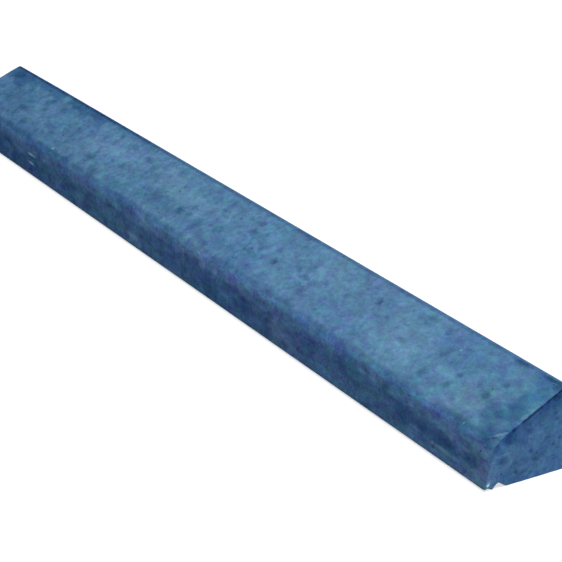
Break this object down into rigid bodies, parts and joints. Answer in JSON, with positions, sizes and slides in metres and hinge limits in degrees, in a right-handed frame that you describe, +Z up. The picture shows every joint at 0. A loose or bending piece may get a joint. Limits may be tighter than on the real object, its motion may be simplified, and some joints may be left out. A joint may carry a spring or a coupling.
{
  "type": "saddleback concrete wall coping",
  "caption": "Precast concrete coping stone with a saddleback top, rounded arrises and a drip groove under each long edge, which caps a thin garden or boundary wall.",
  "frame": {"origin": "middle of the underside, on the plane of the flat bed", "axes": "+X along the length of the stone, +Y across its width, +Z up from the bed to the ridge"},
  "size_m": [1, 0.15, 0.085],
  "materials": {
    "concrete": "matte"
  },
  "bodies": {
    "root": {"coping_stone": "concrete"}
  },
  "joints": []
}
